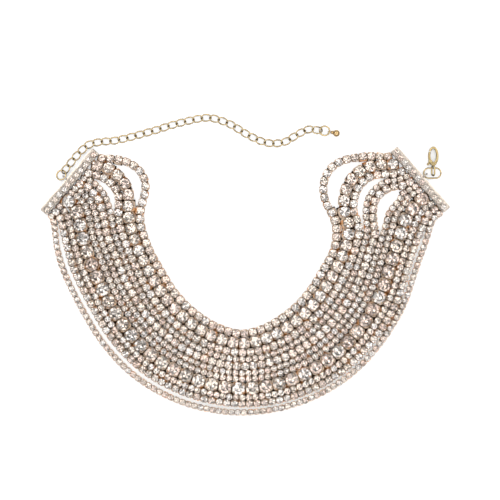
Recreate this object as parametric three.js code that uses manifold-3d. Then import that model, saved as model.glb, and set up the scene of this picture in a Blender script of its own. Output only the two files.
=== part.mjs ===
// A rhinestone choker: eleven strands of cup chain side by side between two stone-set end bars,
// closed at the nape by a lobster clasp on an oval ring and an extender chain with a drop.
// Millimetres, +Z up. It lies flat, stones up: +X to the right, +Y from the throat to the nape.
import * as THREE from "three";
import { mergeVertices } from "three/addons/utils/BufferGeometryUtils.js";
import Module from "manifold-3d";

const wasm = await Module();
wasm.setup();

// Rows of numbers under named columns.
function table(columns, rows) {
  return rows.map((row) => Object.fromEntries(columns.map((column, i) => [column, row[i]])));
}

// ---------- driving dimensions ----------

// The strands from the throat outwards: width and height of the chain, and the pitch of its stones.
// A faceted strand has every stone cut here; the finer ones are plain bars of the same size.
const strands = table(["width", "height", "pitch", "faceted"], [
  [3.3, 3.0, 3.8, false],
  [4.8, 4.1, 5.3, true],
  [3.3, 3.0, 3.7, false],
  [2.4, 2.2, 3.0, false],
  [3.3, 3.0, 3.8, false],
  [2.4, 2.2, 3.0, false],
  [2.4, 2.2, 3.0, false],
  [5.4, 4.6, 6.2, true],
  [2.5, 2.3, 3.0, false],
  [3.0, 2.8, 3.5, false],
  [2.5, 2.3, 2.9, false],
]);
const strandSteps = 32; // straight facets along a plain strand

// The end bars: the middle of the outer edge, and the direction of the bar with its outer side on the left.
const bars = {
  left: { x: -82.4, y: 39.5, angle: 49.6, innermostAt: 1 },
  right: { x: 82.4, y: 40.5, angle: -48.7, innermostAt: -1 },
};
const barLength = 37.2;
const barWidth = 4.2;
const barHeight = 2.4;
const barCorner = 0.8; // radius of its rounded corners
const barStones = 12;
const barStonePitch = 3.0;
const barStoneRadius = 1.38;
const barStoneTop = 3.3;
const barRim = 0.95; // bare metal along the outer edge
const clearance = 0.3; // between pieces that meet
const barEndMargin = 0.9; // from the end of a bar to the middle of the strand nearest it
const leadOut = 1.6; // straight start of every strand, square to its bar

// Ribs lie across all strands. Each row holds the middle of the innermost strand (inX, inY), of the
// outermost (outX, outY), and the bare gaps after strands 1 to 5 and 10. What is left over is shared
// out evenly. These are the ribs of the two arms, from each bar down to the throat curve.
const ribColumns = ["inX", "inY", "outX", "outY", "gap1", "gap2", "gap3", "gap4", "gap5", "gap10"];
const leftArm = table(ribColumns, [
  [-59.4, 48.6, -88.9, 21.2, 1.7, 1.6, 0.8, 0.6, 0.6, 0.4],
  [-53.7, 46.9, -88.5, 20.2, 3.7, 1.1, 2.3, 0.7, 0.6, 0.6],
  [-48.8, 43.4, -88.2, 19.2, 5.0, 0.9, 2.7, 0.7, 0.6, 0.8],
  [-46.1, 38.2, -88.0, 18.0, 4.9, 0.8, 2.9, 0.7, 0.6, 0.9],
  [-46.2, 33.0, -87.8, 16.6, 4.2, 0.7, 1.9, 0.7, 0.6, 1.0],
  [-47.4, 28.3, -87.6, 14.8, 2.7, 0.7, 0.9, 0.7, 0.6, 1.1],
  [-48.3, 23.2, -87.4, 12.6, 1.4, 0.6, 0.5, 0.6, 0.6, 1.4],
  [-47.9, 17.8, -87.0, 9.3, 0.8, 0.6, 0.5, 0.6, 0.6, 1.8],
  [-46.3, 12.3, -86.0, 4.6, 0.5, 0.5, 0.5, 0.6, 0.6, 2.0],
  [-43.6, 5.7, -83.4, -3.6, 0.5, 0.5, 0.5, 0.5, 0.6, 2.0],
]);
const rightArm = table(ribColumns, [
  [57.8, 50.0, 87.9, 22.0, 1.7, 2.6, 0.8, 1.1, 0.4, 0.3],
  [50.9, 49.2, 87.0, 20.9, 3.2, 1.5, 2.2, 1.1, 2.6, 0.5],
  [44.4, 47.6, 86.3, 19.7, 5.2, 1.2, 3.3, 0.8, 5.3, 0.6],
  [39.3, 44.0, 85.8, 18.4, 6.7, 1.0, 3.4, 0.6, 5.9, 0.6],
  [36.7, 39.0, 85.3, 17.0, 6.8, 0.9, 3.3, 0.5, 5.5, 0.7],
  [36.2, 33.4, 84.8, 15.3, 6.0, 0.8, 3.2, 0.7, 4.3, 0.8],
  [37.5, 28.3, 84.2, 13.3, 4.5, 0.8, 2.8, 0.9, 3.5, 1.0],
  [40.0, 23.4, 83.4, 10.8, 3.3, 0.9, 1.6, 0.9, 2.0, 1.2],
  [41.8, 18.2, 82.4, 7.8, 2.2, 0.9, 0.9, 0.8, 0.7, 1.3],
  [42.0, 12.6, 80.9, 3.8, 1.3, 0.5, 0.6, 0.6, 0.5, 1.2],
  [40.9, 6.4, 78.4, -3.4, 0.6, 0.5, 0.5, 0.5, 0.5, 1.0],
]);

// The throat curve: the innermost strand follows the lower half of a slightly pointed oval.
const throat = { x: -1.5, y: 15, halfWidth: 42.5, depth: 46.9, power: 1.7 };
const throatRibs = [25, 40, 55, 72, 90, 108, 125, 140, 155]; // degrees from its left end
const bandAtThroat = 36.4; // from the middle of the innermost strand to that of the outermost
const bandGrowth = 4.0; // what it gains towards the sides, as the strands loosen
const looseOuterGap = { left: 2.0, bottom: 1.2, right: 0.7 }; // before the outermost strand

// The extender: curb links, from a jump ring on the left bar to an end ring with a drop.
const linkPitch = 3.9;
const linkHalfLength = 2.225; // all of these to the middle of the wire
const linkHalfWidth = 1.56;
const linkTwist = -0.25 * Math.PI;
const linkWire = 0.375; // radius
const ringRadius = 2.25;
const ringWire = 0.4;
const ringHeight = 1.22;
const ringTilt = 20; // degrees about the way the chain pulls, one way at each end of it
const firstLinkAt = 3.45; // from the middle of a ring to the middle of the link on it
const jumpRing = { x: -84.7, y: 41.2 };
const endRing = { x: 36.7, y: 61.6 };
const extenderRoute = table(["x", "y"], [
  [-79.9, 47.4],
  [-76.4, 51.4],
  [-72.4, 55.0],
  [-67.3, 56.4],
  [-59.5, 57.2],
  [-43.7, 61.2],
  [-31.0, 65.0],
  [-19.3, 67.5],
  [-15.0, 67.4],
  [-7.4, 64.9],
  [2.3, 59.2],
  [10.1, 56.1],
  [17.9, 56.4],
  [24.8, 60.3],
  [29.6, 62.3],
]);

// The eyes on the outer edges of the bars, and the clasp on its oval ring.
const eye = { radius: 1.15, wire: 0.38, out: 0.75, height: 1.75 };
const ovalRing = { x: 86.3, y: 42.1, halfLength: 3.95, halfWidth: 2.35, wire: 0.38, height: 1.6 };
const clasp = { x: 86.7, y: 49.9, height: 1.6, thickness: 2.6 };
const claw = { halfWidth: 2.45, halfLength: 4.5, mouthHalfWidth: 1.25, mouthHalfLength: 2.95, mouthUp: 0.3 };
const pivot = { x: -1.3, y: -2.55, pin: 0.4, boss: 1.0, cheekGap: 1.9 };
const leverTop = 2.0; // how far up the side of the claw the lever reaches
const leverThickness = 1.3;
const claspEye = { y: -6.65, halfLength: 2.3, halfWidth: 1.2, wire: 0.4, tilt: 62 };
const drop = { heading: -12, eyeRadius: 0.8, eyeWire: 0.2, ball: 1.6, neck: 0.85 };

// ---------- materials ----------

function metal(color, roughness) {
  return new THREE.MeshStandardMaterial({ color, roughness, metalness: 1 });
}
function crystal() {
  return new THREE.MeshStandardMaterial({ color: 0xd8cabd, roughness: 0.08, metalness: 0.3 });
}

// ---------- helpers ----------

const radians = THREE.MathUtils.degToRad;

function solid(geometry) {
  const bare = geometry.clone();
  bare.deleteAttribute("normal");
  bare.deleteAttribute("uv");
  const merged = mergeVertices(bare, 1e-4);
  const mesh = new wasm.Mesh({
    numProp: 3,
    vertProperties: merged.attributes.position.array,
    triVerts: new Uint32Array(merged.index.array),
  });
  return new wasm.Manifold(mesh);
}

function geometryOf(made) {
  const mesh = made.getMesh();
  const geometry = new THREE.BufferGeometry();
  geometry.setAttribute("position", new THREE.BufferAttribute(mesh.vertProperties, 3));
  geometry.setIndex(new THREE.BufferAttribute(mesh.triVerts, 1));
  geometry.computeVertexNormals();
  return geometry;
}

function piece(name, geometry, material) {
  const mesh = new THREE.Mesh(geometry, material);
  mesh.name = name;
  return mesh;
}

// A flat outline raised from bottom to top.
function plate(shape, bottom, top, curveSegments = 8) {
  const settings = { depth: top - bottom, bevelEnabled: false, curveSegments };
  return new THREE.ExtrudeGeometry(shape, settings).translate(0, 0, bottom);
}

// An upright prism or frustum on sides sides.
function post(radiusBelow, radiusAbove, bottom, top, sides) {
  const geometry = new THREE.CylinderGeometry(radiusAbove, radiusBelow, top - bottom, sides);
  return geometry.rotateX(Math.PI / 2).rotateZ(Math.PI / sides).translate(0, 0, (bottom + top) / 2);
}

// A closed wire along a loop given as a function of the angle, round the loop's own middle.
function wireLoop(pointAt, wireRadius, steps, sides) {
  const points = Array.from({ length: steps }, (_, k) => pointAt((2 * Math.PI * k) / steps));
  const vertices = [];
  points.forEach((point, k) => {
    const before = points[(k + steps - 1) % steps];
    const after = points[(k + 1) % steps];
    const along = after.clone().sub(before).normalize();
    const out = point.clone().addScaledVector(along, -point.dot(along)).normalize();
    const across = along.clone().cross(out);
    for (let j = 0; j < sides; j += 1) {
      const angle = (2 * Math.PI * (j + 0.5)) / sides;
      const vertex = point.clone();
      vertex.addScaledVector(out, wireRadius * Math.cos(angle));
      vertex.addScaledVector(across, wireRadius * Math.sin(angle));
      vertices.push(vertex);
    }
  });
  const triangles = [];
  for (let k = 0; k < steps; k += 1) {
    for (let j = 0; j < sides; j += 1) {
      const a = k * sides + j;
      const b = k * sides + ((j + 1) % sides);
      const c = ((k + 1) % steps) * sides + j;
      const d = ((k + 1) % steps) * sides + ((j + 1) % sides);
      triangles.push(a, b, d, a, d, c);
    }
  }
  return new THREE.BufferGeometry().setFromPoints(vertices).setIndex(triangles);
}

function ringGeometry(radius, wire) {
  return wireLoop((t) => new THREE.Vector3(radius * Math.cos(t), radius * Math.sin(t), 0), wire, 12, 5);
}

// ---------- the routes of the strands ----------

function barFrame(bar) {
  const angle = radians(bar.angle);
  const along = new THREE.Vector2(Math.cos(angle), Math.sin(angle));
  const out = new THREE.Vector2(-along.y, along.x);
  return { middle: new THREE.Vector2(bar.x, bar.y), along, out };
}

// From the middle of the innermost strand to that of the outermost, with no gaps between them.
const outermost = strands.length - 1;
const packedBand =
  strands.reduce((sum, strand) => sum + strand.width, 0) - (strands[0].width + strands[outermost].width) / 2;

// A rib at a distance inside the outer edge of a bar, where the strands lie side by side.
function barRib(bar, inside) {
  const { middle, along, out } = barFrame(bar);
  const start = middle.clone().addScaledVector(out, -inside);
  const half = barLength / 2 - barEndMargin;
  const even = (2 * half - packedBand) / (outermost + 3);
  const inner = start.clone().addScaledVector(along, half * bar.innermostAt);
  const outer = start.clone().addScaledVector(along, -half * bar.innermostAt);
  return {
    inX: inner.x, inY: inner.y, outX: outer.x, outY: outer.y,
    gap1: even, gap2: 4 * even, gap3: even, gap4: even, gap5: even, gap10: even,
  };
}

function throatRib(degrees) {
  const angle = radians(degrees);
  const bend = 2 / throat.power;
  const dx = -Math.sign(Math.cos(angle)) * Math.abs(Math.cos(angle)) ** bend * throat.halfWidth;
  const dy = -(Math.sin(angle) ** bend) * throat.depth;
  const outward = new THREE.Vector2(
    (Math.sign(dx) * Math.abs(dx) ** (throat.power - 1)) / throat.halfWidth ** throat.power,
    -(Math.abs(dy) ** (throat.power - 1)) / throat.depth ** throat.power,
  ).normalize();
  const band = bandAtThroat + bandGrowth * (1 - Math.sin(angle) ** 10);
  const side = dx < 0 ? looseOuterGap.left : looseOuterGap.right;
  const share = Math.abs(Math.cos(angle)) ** 0.5;
  const inX = throat.x + dx;
  const inY = throat.y + dy;
  const gap10 = looseOuterGap.bottom + (side - looseOuterGap.bottom) * share;
  const even = (band - packedBand - gap10) / (outermost - 1);
  return {
    inX, inY, outX: inX + band * outward.x, outY: inY + band * outward.y,
    gap1: even, gap2: even, gap3: even, gap4: even, gap5: even, gap10,
  };
}

const ribs = [
  barRib(bars.left, barWidth + clearance),
  barRib(bars.left, barWidth + clearance + leadOut),
  ...leftArm,
  ...throatRibs.map(throatRib),
  ...rightArm.toReversed(),
  barRib(bars.right, barWidth + clearance + leadOut),
  barRib(bars.right, barWidth + clearance),
];

// How far along a rib the middle of each strand lies, from the innermost.
function stationsOn(rib) {
  const stated = new Map([
    [1, rib.gap1],
    [2, rib.gap2],
    [3, rib.gap3],
    [4, rib.gap4],
    [5, rib.gap5],
    [10, rib.gap10],
  ]);
  const statedSum = [...stated.values()].reduce((sum, gap) => sum + gap, 0);
  const span = Math.hypot(rib.outX - rib.inX, rib.outY - rib.inY);
  const share = (span - packedBand - statedSum) / (outermost - stated.size);
  const stations = [0];
  for (let i = 1; i < strands.length; i += 1) {
    const gap = stated.get(i) ?? share;
    const halves = (strands[i - 1].width + strands[i].width) / 2;
    stations.push(stations[i - 1] + halves + gap);
  }
  return stations.map((station) => station / span);
}

const stationTable = ribs.map(stationsOn);

function routeOf(index) {
  const height = strands[index].height / 2;
  const points = ribs.map((rib, k) => {
    const share = stationTable[k][index];
    const x = THREE.MathUtils.lerp(rib.inX, rib.outX, share);
    const y = THREE.MathUtils.lerp(rib.inY, rib.outY, share);
    return new THREE.Vector3(x, y, height);
  });
  return new THREE.CatmullRomCurve3(points, false, "centripetal");
}

// Plain strands are stepped in step with the second strand, so that neighbours bend at the same ribs.
const pacer = routeOf(1);

function steppedRoute(index) {
  const route = routeOf(index);
  route.getUtoTmapping = (u) => pacer.getUtoTmapping(u);
  return route;
}

// ---------- strands ----------

// A plain strand: a bar with eight sides, flat below, along its route.
function plainStrand(index) {
  const { width, height } = strands[index];
  const quarter = [[0.5, 0.3], [0.2, 0.5]];
  const turned = quarter.map(([up, side]) => [-up, -side]);
  const corners = [
    ...quarter,
    ...quarter.toReversed().map(([up, side]) => [-up, side]),
    ...turned,
    ...turned.toReversed().map(([up, side]) => [-up, side]),
  ];
  const section = new THREE.Shape(corners.map(([up, side]) => new THREE.Vector2(up * height, side * width)));
  return new THREE.ExtrudeGeometry(section, { steps: strandSteps, extrudePath: steppedRoute(index) });
}

// A faceted strand: a stone in an eight-sided cup at every pitch, with a table and eight crown facets,
// and a link between each cup and the next as wide as the sides that face each other.
function facetedStrand(index) {
  const { width, height, pitch } = strands[index];
  const route = routeOf(index);
  route.arcLengthDivisions = 1000;
  const count = Math.round(route.getLength() / pitch);
  const radius = width / 2 / Math.cos(Math.PI / 8);
  const levels = [
    { z: 0, radius: radius * 0.86 },
    { z: height * 0.66, radius },
    { z: height, radius: radius * 0.56 },
  ];
  const vertices = [];
  for (let k = 0; k < count; k += 1) {
    const u = (k + 0.5) / count;
    const middle = route.getPointAt(u);
    const along = route.getTangentAt(u);
    const heading = Math.atan2(along.y, along.x);
    for (const level of levels) {
      for (let j = 0; j < 8; j += 1) {
        const angle = heading + ((j + 0.5) * Math.PI) / 4;
        const x = middle.x + level.radius * Math.cos(angle);
        const y = middle.y + level.radius * Math.sin(angle);
        vertices.push(new THREE.Vector3(x, y, level.z));
      }
    }
  }
  const triangles = [];
  const quad = (a, b, c, d) => triangles.push(a, b, c, a, c, d);
  for (let k = 0; k < count; k += 1) {
    const at = (level, j) => k * 24 + level * 8 + (j % 8);
    for (let j = 1; j < 7; j += 1) {
      triangles.push(at(0, 0), at(0, j + 1), at(0, j));
      triangles.push(at(2, 0), at(2, j), at(2, j + 1));
    }
    for (let j = 0; j < 8; j += 1) {
      const facesNext = j === 7 && k < count - 1;
      const facesLast = j === 3 && k > 0;
      if (!facesNext && !facesLast) quad(at(0, j), at(0, j + 1), at(1, j + 1), at(1, j));
      quad(at(1, j), at(1, j + 1), at(2, j + 1), at(2, j));
    }
    if (k < count - 1) {
      const next = (level, j) => at(level, j) + 24;
      quad(at(0, 7), next(0, 4), next(1, 4), at(1, 7));
      quad(next(0, 3), at(0, 0), at(1, 0), next(1, 3));
      quad(at(1, 7), next(1, 4), next(1, 3), at(1, 0));
      quad(at(0, 0), next(0, 3), next(0, 4), at(0, 7));
    }
  }
  return new THREE.BufferGeometry().setFromPoints(vertices).setIndex(triangles);
}

function strandMeshes() {
  return strands.map((strand, i) => {
    const geometry = strand.faceted ? facetedStrand(i) : plainStrand(i);
    return piece(`strand_${String(i + 1).padStart(2, "0")}`, geometry, crystal());
  });
}

// ---------- end bars ----------

function barOutline() {
  const half = barLength / 2;
  const shape = new THREE.Shape();
  shape.moveTo(-half + barCorner, -barWidth);
  shape.absarc(half - barCorner, -barWidth + barCorner, barCorner, -Math.PI / 2, 0);
  shape.absarc(half - barCorner, -barCorner, barCorner, 0, Math.PI / 2);
  shape.absarc(-half + barCorner, -barCorner, barCorner, Math.PI / 2, Math.PI);
  shape.absarc(-half + barCorner, -barWidth + barCorner, barCorner, Math.PI, 1.5 * Math.PI);
  return shape;
}

// The bar in its own frame: X along it, its outer edge on Y = 0, with an upright eye outside the edge.
function endBar(name, place) {
  let body = solid(plate(barOutline(), 0, barHeight, 2));
  const rowAt = -(barRim + (barWidth - barRim) / 2);
  for (let k = 0; k < barStones; k += 1) {
    const x = (k - (barStones - 1) / 2) * barStonePitch;
    const stone = post(barStoneRadius, barStoneRadius * 0.56, barHeight - 0.02, barStoneTop, 8);
    body = body.add(solid(stone.translate(x, rowAt, 0)));
  }
  const loop = ringGeometry(eye.radius, eye.wire).rotateY(Math.PI / 2);
  body = body.add(solid(loop.translate(0, eye.out, eye.height)));
  const mesh = piece(name, geometryOf(body), metal(0xd9b98a, 0.25));
  mesh.position.set(place.x, place.y, 0);
  mesh.rotation.z = radians(place.angle);
  return mesh;
}

// ---------- extender ----------

function curbLink() {
  const pointAt = (t) => {
    const turn = linkTwist * Math.cos(t);
    const side = linkHalfWidth * Math.sin(t);
    return new THREE.Vector3(linkHalfLength * Math.cos(t), side * Math.cos(turn), side * Math.sin(turn));
  };
  return wireLoop(pointAt, linkWire, 8, 5);
}

const routePoints = extenderRoute.map((p) => new THREE.Vector3(p.x, p.y, 1.0));
const startHeading = Math.atan2(extenderRoute[0].y - jumpRing.y, extenderRoute[0].x - jumpRing.x);
const lastPoint = extenderRoute.at(-1);
const endHeading = Math.atan2(endRing.y - lastPoint.y, endRing.x - lastPoint.x);

function besideRing(ring, heading) {
  const x = ring.x + firstLinkAt * Math.cos(heading);
  const y = ring.y + firstLinkAt * Math.sin(heading);
  return new THREE.Vector3(x, y, ringHeight);
}

const extenderCurve = new THREE.CatmullRomCurve3(
  [besideRing(jumpRing, startHeading), ...routePoints, besideRing(endRing, endHeading + Math.PI)],
  false,
  "centripetal",
);

function extenderChain() {
  extenderCurve.arcLengthDivisions = 800;
  const gaps = Math.round(extenderCurve.getLength() / linkPitch);
  const link = curbLink();
  let chain = null;
  for (let k = 0; k <= gaps; k += 1) {
    const place = extenderCurve.getPointAt(k / gaps);
    const along = extenderCurve.getTangentAt(k / gaps);
    const turned = link.clone().rotateZ(Math.atan2(along.y, along.x));
    const made = solid(turned.translate(place.x, place.y, place.z));
    chain = chain ? chain.add(made) : made;
  }
  return piece("extender_chain", geometryOf(chain), metal(0xe3c896, 0.3));
}

// A round ring that leans about the way the chain pulls on it.
function roundRing(name, ring, heading, tilt) {
  const mesh = piece(name, ringGeometry(ringRadius, ringWire), metal(0xe3c896, 0.3));
  const group = new THREE.Group();
  mesh.rotation.x = radians(tilt);
  group.add(mesh);
  group.position.set(ring.x, ring.y, ringHeight);
  group.rotation.z = heading;
  return group;
}

// The drop: a ball with a small lobe at its neck, and a thin upright eye round the end ring.
function extenderDrop() {
  const eyeAt = ringRadius + 0.04;
  const heading = radians(drop.heading);
  const bearing = heading - endHeading;
  const eyeHeight = ringHeight + ringRadius * Math.sin(bearing) * Math.sin(radians(ringTilt));
  const neckAt = eyeAt + 1.35;
  const ballAt = neckAt + 1.9;
  const profile = [new THREE.Vector2(0, neckAt - drop.neck)];
  for (let k = 1; k <= 3; k += 1) {
    const angle = Math.PI - (k * Math.PI) / 5;
    profile.push(new THREE.Vector2(drop.neck * Math.sin(angle), neckAt + drop.neck * Math.cos(angle)));
  }
  for (let k = 2; k <= 6; k += 1) {
    const angle = Math.PI - (k * Math.PI) / 7;
    profile.push(new THREE.Vector2(drop.ball * Math.sin(angle), ballAt + drop.ball * Math.cos(angle)));
  }
  profile.push(new THREE.Vector2(0, ballAt + drop.ball));
  const lobes = new THREE.LatheGeometry(profile, 12).rotateZ(-Math.PI / 2).translate(0, 0, drop.ball);
  const loop = ringGeometry(drop.eyeRadius, drop.eyeWire).rotateX(Math.PI / 2);
  const body = solid(lobes).add(solid(loop.translate(eyeAt, 0, eyeHeight)));
  const mesh = piece("extender_drop", geometryOf(body), metal(0xd9a95e, 0.3));
  mesh.position.set(endRing.x, endRing.y, 0);
  mesh.rotation.z = heading;
  return mesh;
}

// ---------- clasp ----------

function claspRing() {
  const { halfLength, halfWidth, wire } = ovalRing;
  const pointAt = (t) => new THREE.Vector3(halfLength * Math.cos(t), halfWidth * Math.sin(t), 0);
  const mesh = piece("clasp_ring", wireLoop(pointAt, wire, 14, 5), metal(0xe3c896, 0.3));
  mesh.position.set(ovalRing.x, ovalRing.y, ovalRing.height);
  return mesh;
}

function ellipse(x, y, halfWidth, halfLength) {
  const shape = new THREE.Shape();
  shape.absellipse(x, y, halfWidth, halfLength, 0, 2 * Math.PI);
  return shape;
}

function circle(x, y, radius) {
  return ellipse(x, y, radius, radius);
}

function box(x0, x1, y0, y1, z0, z1) {
  const geometry = new THREE.BoxGeometry(x1 - x0, y1 - y0, z1 - z0);
  return geometry.translate((x0 + x1) / 2, (y0 + y1) / 2, (z0 + z1) / 2);
}

function clawBand(thickness, segments) {
  const outline = ellipse(0, 0, claw.halfWidth, claw.halfLength);
  outline.holes.push(ellipse(0, claw.mouthUp, claw.mouthHalfWidth, claw.mouthHalfLength));
  return solid(plate(outline, -thickness / 2, thickness / 2, segments));
}

// The claw without its left side, with two cheeks and a pin for the lever, and the eye below it.
function claspBody() {
  const half = clasp.thickness / 2;
  let body = clawBand(clasp.thickness, 12);
  body = body.subtract(solid(box(-3, -0.7, pivot.y + 0.75, leverTop + clearance, -2, 2)));
  const cheekGap = pivot.cheekGap / 2;
  const slot = plate(circle(pivot.x, pivot.y, pivot.boss + clearance), -cheekGap, cheekGap, 8);
  body = body.subtract(solid(slot));
  body = body.subtract(solid(box(-4, pivot.x - 0.35, pivot.y - 1.9, pivot.y + 0.2, -cheekGap, cheekGap)));
  body = body.add(solid(plate(circle(pivot.x, pivot.y, pivot.pin), -half + 0.1, half - 0.1, 5)));
  const tilt = radians(claspEye.tilt);
  const pointAt = (t) => {
    const side = claspEye.halfWidth * Math.cos(t);
    return new THREE.Vector3(side * Math.cos(tilt), claspEye.halfLength * Math.sin(t), side * Math.sin(tilt));
  };
  const loop = wireLoop(pointAt, claspEye.wire, 12, 5).translate(0, claspEye.y, 0);
  return piece("clasp_body", geometryOf(body.add(solid(loop))), metal(0xdcb877, 0.25));
}

// The lever: the left side of the claw, with a boss round the pin and a tab for the thumb.
function claspLever() {
  const half = leverThickness / 2;
  const keep = box(-3, -0.7, pivot.y + 0.2, leverTop, -half, half);
  let lever = clawBand(leverThickness, 12).intersect(solid(keep));
  lever = lever.add(solid(plate(circle(pivot.x, pivot.y, pivot.boss), -half, half, 6)));
  const tab = new THREE.Shape();
  tab.moveTo(pivot.x - 0.2, pivot.y - 0.95);
  tab.lineTo(pivot.x - 0.9, pivot.y - 0.4);
  tab.lineTo(pivot.x - 1.75, pivot.y - 1.15);
  tab.lineTo(pivot.x - 1.15, pivot.y - 1.75);
  lever = lever.add(solid(plate(tab, -half, half)));
  lever = lever.subtract(solid(plate(circle(pivot.x, pivot.y, pivot.pin + 0.22), -2, 2, 5)));
  return piece("clasp_lever", geometryOf(lever), metal(0xdcb877, 0.25));
}

function lobsterClasp() {
  const group = new THREE.Group();
  group.add(claspBody(), claspLever());
  group.position.set(clasp.x, clasp.y, clasp.height);
  return group;
}

// ---------- the choker ----------

const choker = new THREE.Group();
choker.add(...strandMeshes());
choker.add(endBar("left_end_bar", bars.left), endBar("right_end_bar", bars.right));
choker.add(roundRing("extender_ring", jumpRing, startHeading, -ringTilt), extenderChain());
choker.add(roundRing("extender_end_ring", endRing, endHeading, ringTilt), extenderDrop());
choker.add(claspRing(), lobsterClasp());

// The origin is under the middle of the whole, on the surface that it lies on.
choker.updateMatrixWorld(true);
const whole = new THREE.Box3().setFromObject(choker, true);
const centre = whole.getCenter(new THREE.Vector3());
choker.position.set(-centre.x, -centre.y, -whole.min.z);

export default choker;
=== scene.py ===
"""The looks of a rhinestone choker: eleven strands of cup chain between two stone-set end bars,
a lobster clasp on an oval ring, and an extender chain with a drop. Metres, in the row frame."""

import math
import random

import bmesh
import bpy
from mathutils import Matrix, Vector
from mathutils.kdtree import KDTree


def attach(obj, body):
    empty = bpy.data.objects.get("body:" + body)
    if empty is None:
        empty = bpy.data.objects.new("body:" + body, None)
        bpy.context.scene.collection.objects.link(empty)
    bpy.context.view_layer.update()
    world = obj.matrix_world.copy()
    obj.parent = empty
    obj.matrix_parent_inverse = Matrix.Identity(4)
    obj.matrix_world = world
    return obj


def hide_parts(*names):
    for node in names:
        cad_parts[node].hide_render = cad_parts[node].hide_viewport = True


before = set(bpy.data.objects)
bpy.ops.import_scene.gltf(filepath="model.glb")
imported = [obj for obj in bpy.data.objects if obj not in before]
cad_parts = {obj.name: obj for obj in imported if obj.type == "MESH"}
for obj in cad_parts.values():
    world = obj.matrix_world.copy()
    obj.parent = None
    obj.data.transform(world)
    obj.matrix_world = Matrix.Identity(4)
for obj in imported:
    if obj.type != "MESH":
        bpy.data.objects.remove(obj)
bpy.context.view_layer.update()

MM = 0.001
SHIFT = Vector((-0.110, -0.167, 0)) * MM  # the choker's own frame to the row frame
chance = random.Random(8)  # small unevenness, the same in each run

# ---------- dimensions, in millimetres ----------


def table(columns, rows):
    """Rows of numbers under named columns."""
    return [dict(zip(columns, row)) for row in rows]


# The strands from the throat outwards: width and height of the chain, and the pitch of its stones.
STRANDS = table(
    ["width", "height", "pitch", "large"],
    [
        [3.3, 3.0, 3.8, False],
        [4.8, 4.1, 5.3, True],
        [3.3, 3.0, 3.7, False],
        [2.4, 2.2, 3.0, False],
        [3.3, 3.0, 3.8, False],
        [2.4, 2.2, 3.0, False],
        [2.4, 2.2, 3.0, False],
        [5.4, 4.6, 6.2, True],
        [2.5, 2.3, 3.0, False],
        [3.0, 2.8, 3.5, False],
        [2.5, 2.3, 2.9, False],
    ],
)
OUTERMOST = len(STRANDS) - 1

# The end bars: the middle of the outer edge, and the direction with the outer side on the left.
BARS = {
    "left": {"x": -82.4, "y": 39.5, "angle": 49.6, "innermost_at": 1},
    "right": {"x": 82.4, "y": 40.5, "angle": -48.7, "innermost_at": -1},
}
BAR_LENGTH = 37.2
BAR_WIDTH = 4.2
BAR_HEIGHT = 2.4
CLEARANCE = 0.3
BAR_END_MARGIN = 0.9
LEAD_OUT = 1.6

# Ribs lie across all strands: the middle of the innermost, that of the outermost, and the bare
# gaps after strands 1 to 5 and 10. What is left over is shared out evenly.
RIB_COLUMNS = ["in_x", "in_y", "out_x", "out_y", 1, 2, 3, 4, 5, 10]
LEFT_ARM = table(
    RIB_COLUMNS,
    [
        [-59.4, 48.6, -88.9, 21.2, 1.7, 1.6, 0.8, 0.6, 0.6, 0.4],
        [-53.7, 46.9, -88.5, 20.2, 3.7, 1.1, 2.3, 0.7, 0.6, 0.6],
        [-48.8, 43.4, -88.2, 19.2, 5.0, 0.9, 2.7, 0.7, 0.6, 0.8],
        [-46.1, 38.2, -88.0, 18.0, 4.9, 0.8, 2.9, 0.7, 0.6, 0.9],
        [-46.2, 33.0, -87.8, 16.6, 4.2, 0.7, 1.9, 0.7, 0.6, 1.0],
        [-47.4, 28.3, -87.6, 14.8, 2.7, 0.7, 0.9, 0.7, 0.6, 1.1],
        [-48.3, 23.2, -87.4, 12.6, 1.4, 0.6, 0.5, 0.6, 0.6, 1.4],
        [-47.9, 17.8, -87.0, 9.3, 0.8, 0.6, 0.5, 0.6, 0.6, 1.8],
        [-46.3, 12.3, -86.0, 4.6, 0.5, 0.5, 0.5, 0.6, 0.6, 2.0],
        [-43.6, 5.7, -83.4, -3.6, 0.5, 0.5, 0.5, 0.5, 0.6, 2.0],
    ],
)
RIGHT_ARM = table(
    RIB_COLUMNS,
    [
        [57.8, 50.0, 87.9, 22.0, 1.7, 2.6, 0.8, 1.1, 0.4, 0.3],
        [50.9, 49.2, 87.0, 20.9, 3.2, 1.5, 2.2, 1.1, 2.6, 0.5],
        [44.4, 47.6, 86.3, 19.7, 5.2, 1.2, 3.3, 0.8, 5.3, 0.6],
        [39.3, 44.0, 85.8, 18.4, 6.7, 1.0, 3.4, 0.6, 5.9, 0.6],
        [36.7, 39.0, 85.3, 17.0, 6.8, 0.9, 3.3, 0.5, 5.5, 0.7],
        [36.2, 33.4, 84.8, 15.3, 6.0, 0.8, 3.2, 0.7, 4.3, 0.8],
        [37.5, 28.3, 84.2, 13.3, 4.5, 0.8, 2.8, 0.9, 3.5, 1.0],
        [40.0, 23.4, 83.4, 10.8, 3.3, 0.9, 1.6, 0.9, 2.0, 1.2],
        [41.8, 18.2, 82.4, 7.8, 2.2, 0.9, 0.9, 0.8, 0.7, 1.3],
        [42.0, 12.6, 80.9, 3.8, 1.3, 0.5, 0.6, 0.6, 0.5, 1.2],
        [40.9, 6.4, 78.4, -3.4, 0.6, 0.5, 0.5, 0.5, 0.5, 1.0],
    ],
)

# The throat curve: the lower half of a slightly pointed oval, and the band outside it.
THROAT = {"x": -1.5, "y": 15, "half_width": 42.5, "depth": 46.9, "power": 1.7}
THROAT_RIBS = [25, 40, 55, 72, 90, 108, 125, 140, 155]
BAND_AT_THROAT = 36.4
BAND_GROWTH = 4.0
LOOSE_OUTER_GAP = {"left": 2.0, "bottom": 1.2, "right": 0.7}

# ---------- the routes of the strands ----------

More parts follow.
